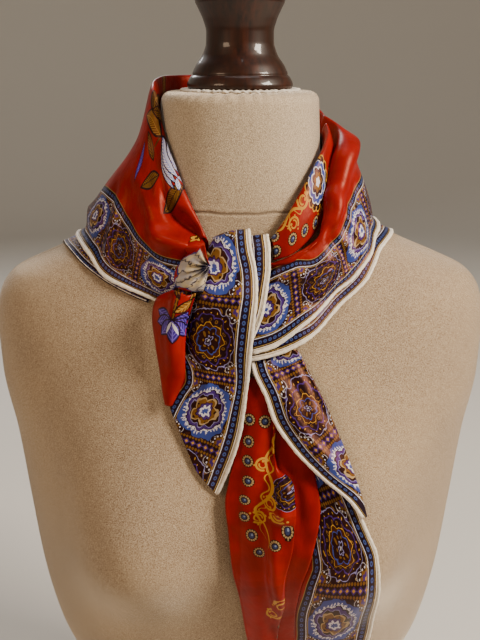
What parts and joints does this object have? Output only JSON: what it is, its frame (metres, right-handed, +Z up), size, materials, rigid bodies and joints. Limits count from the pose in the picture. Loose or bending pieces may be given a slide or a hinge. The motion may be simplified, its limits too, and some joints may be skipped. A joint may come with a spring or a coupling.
{
  "type": "silk square scarf on a dress form",
  "caption": "Printed silk square folded on the diagonal, wound round the neck of a limbless velvet dress form and tied once in front, with a long and a short tail.",
  "frame": {"origin": "middle of the form's flat base", "axes": "+Z up along the neck, -Y the way the wearer would face, +X to the right of someone who looks at the front"},
  "size_m": [0.384, 0.2562, 0.7243],
  "materials": {
    "velvet": "beige pile velvet with a pale sheen at grazing angles",
    "cap_wood": "turned hardwood, dark brown stain under gloss varnish",
    "printed_silk": "satin silk, red ground with flower sprays, dark border of medallions and a cream rolled hem"
  },
  "bodies": {
    "root": {"form_torso": "velvet", "form_cap": "cap_wood", "collar_left": "printed_silk", "collar_back": "printed_silk", "collar_right": "printed_silk", "collar_left_under": "printed_silk", "collar_back_under": "printed_silk", "collar_right_under": "printed_silk", "collar_right_roll": "printed_silk", "knot_gather": "printed_silk", "knot_wrap": "printed_silk", "knot_wrap_under": "printed_silk", "tail_short_band": "printed_silk", "tail_short_roll": "printed_silk", "tail_long_under": "printed_silk", "tail_long_middle": "printed_silk", "tail_long_roll": "printed_silk", "tail_long_flap": "printed_silk"}
  },
  "joints": []
}
